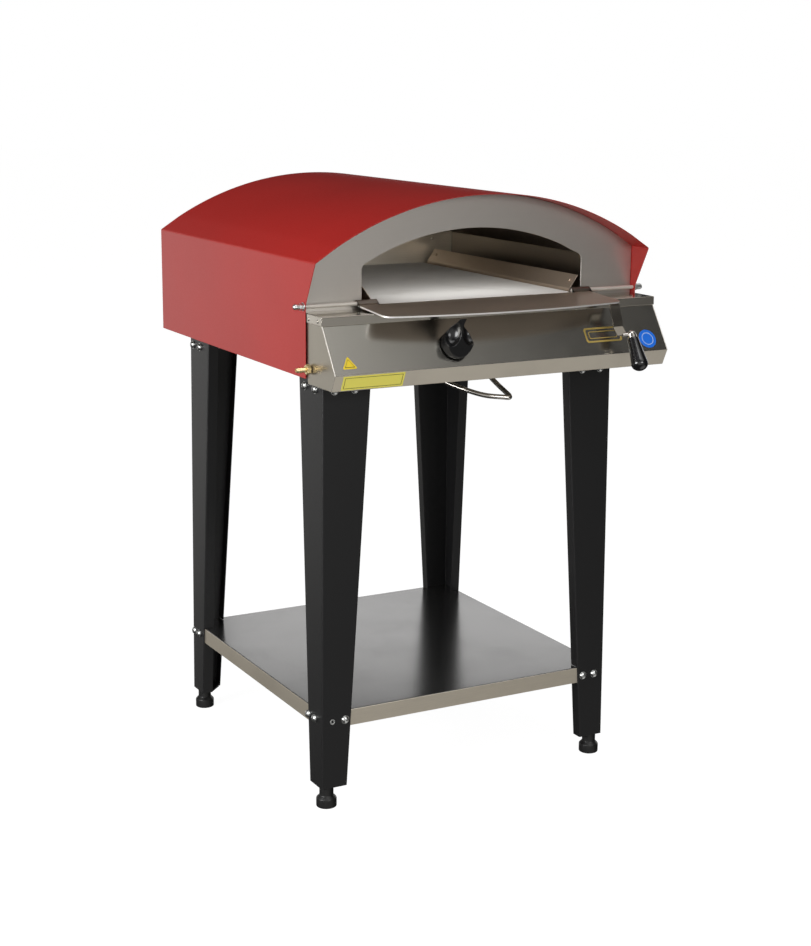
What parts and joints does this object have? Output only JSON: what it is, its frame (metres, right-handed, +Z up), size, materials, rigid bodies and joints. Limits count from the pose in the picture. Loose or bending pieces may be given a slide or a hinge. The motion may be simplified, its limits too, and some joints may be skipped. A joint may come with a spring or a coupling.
{
  "type": "pizza oven",
  "caption": "Gas pizza oven with an arched hood, a fold-down door plate and a control panel, on a four-legged stand with a shelf.",
  "frame": {"origin": "on the floor, under the middle of the whole oven", "axes": "+Z up, +X to the right of someone facing the mouth, and the mouth looks towards -Y"},
  "size_m": [0.8105, 0.9425, 1.2328],
  "materials": {
    "black_nylon": "moulded, slightly glossy",
    "black_phenolic": "polished moulded phenolic",
    "black_powder_coat": "satin powder coat",
    "brass": "machined",
    "bright_steel": "polished stainless steel",
    "casing_steel": "brushed along its length",
    "ceramic_fibre": "needled fibre",
    "chamber_steel": "brushed, heat tinted a little",
    "copper_lead": "drawn copper",
    "door_steel": "brushed across its width",
    "guard_steel": "brushed",
    "red_enamel": "satin powder coat with a fine orange peel",
    "refractory_stone": "pressed refractory, fine grain",
    "shelf_steel": "brushed along its depth",
    "zinc_plate": "bright zinc plate"
  },
  "bodies": {
    "oven": {"baking_stone": "refractory_stone", "base_pan": "casing_steel", "burner_tube_left": "casing_steel", "burner_tube_right": "casing_steel", "chamber_floor": "chamber_steel", "chamber_liner": "chamber_steel", "chamber_rear_wall": "chamber_steel", "control_panel": "casing_steel", "corner_bracket_front_left": "zinc_plate", "corner_bracket_front_right": "zinc_plate", "corner_bracket_rear_left": "zinc_plate", "corner_bracket_rear_right": "zinc_plate", "deck_rail_left": "casing_steel", "deck_rail_right": "casing_steel", "flame_guard_left": "guard_steel", "flame_guard_right": "guard_steel", "floor_insulation": "ceramic_fibre", "floor_support_left": "casing_steel", "floor_support_right": "casing_steel", "foot_plate_front_left": "black_powder_coat", "foot_plate_front_right": "black_powder_coat", "foot_plate_rear_left": "black_powder_coat", "foot_plate_rear_right": "black_powder_coat", "front_fascia": "chamber_steel", "gas_inlet_pipe": "brass", "gas_manifold": "casing_steel", "gas_valve": "brass", "hinge_pin_left": "zinc_plate", "hinge_pin_right": "zinc_plate", "hood_shell": "red_enamel", "hose_nozzle": "brass", "insulation_blanket": "ceramic_fibre", "leg_front_left": "black_powder_coat", "leg_front_right": "black_powder_coat", "leg_rear_left": "black_powder_coat", "leg_rear_right": "black_powder_coat", "rear_insulation": "ceramic_fibre", "rear_panel": "casing_steel", "shelf": "shelf_steel", "thermocouple": "copper_lead", "top_cover": "casing_steel", "tray_runner_left": "casing_steel", "tray_runner_right": "casing_steel"},
    "door": {"door_plate": "door_steel", "handle_arm": "bright_steel", "handle_grip": "black_phenolic"},
    "spindle_collar": {"spindle_collar": "zinc_plate"},
    "knob": {"control_knob": "black_phenolic", "valve_spindle": "zinc_plate"},
    "crumb_tray": {"crumb_tray": "casing_steel", "tray_pull": "bright_steel"},
    "foot_front_left": {"foot_pad_front_left": "black_nylon", "foot_stud_front_left": "zinc_plate"},
    "foot_front_right": {"foot_pad_front_right": "black_nylon", "foot_stud_front_right": "zinc_plate"},
    "foot_rear_left": {"foot_pad_rear_left": "black_nylon", "foot_stud_rear_left": "zinc_plate"},
    "foot_rear_right": {"foot_pad_rear_right": "black_nylon", "foot_stud_rear_right": "zinc_plate"}
  },
  "joints": [
    {"name": "door_hinge", "type": "hinge", "parent": "oven", "child": "door", "pos_m": [0, -0.2685, 1.028], "axis": [-1, 0, 0], "range_deg": [0, 96]},
    {"name": "knob_push", "type": "slide", "parent": "oven", "child": "spindle_collar", "axis": [0, 0.8368, -0.5475], "range_m": [0, 0.003], "stiffness_N_per_m": 1500, "springref_m": -0.003},
    {"name": "knob_turn", "type": "hinge", "parent": "spindle_collar", "child": "knob", "pos_m": [-0.112, -0.37456, 0.951], "axis": [0, -0.8368, 0.5475], "range_deg": [0, 180]},
    {"name": "tray_slide", "type": "slide", "parent": "oven", "child": "crumb_tray", "axis": [0, -1, 0], "range_m": [0, 0.3]},
    {"name": "foot_front_left_height", "type": "slide", "parent": "oven", "child": "foot_front_left", "axis": [0, 0, -1], "range_m": [0, 0.02]},
    {"name": "foot_front_right_height", "type": "slide", "parent": "oven", "child": "foot_front_right", "axis": [0, 0, -1], "range_m": [0, 0.02]},
    {"name": "foot_rear_left_height", "type": "slide", "parent": "oven", "child": "foot_rear_left", "axis": [0, 0, -1], "range_m": [0, 0.02]},
    {"name": "foot_rear_right_height", "type": "slide", "parent": "oven", "child": "foot_rear_right", "axis": [0, 0, -1], "range_m": [0, 0.02]}
  ]
}
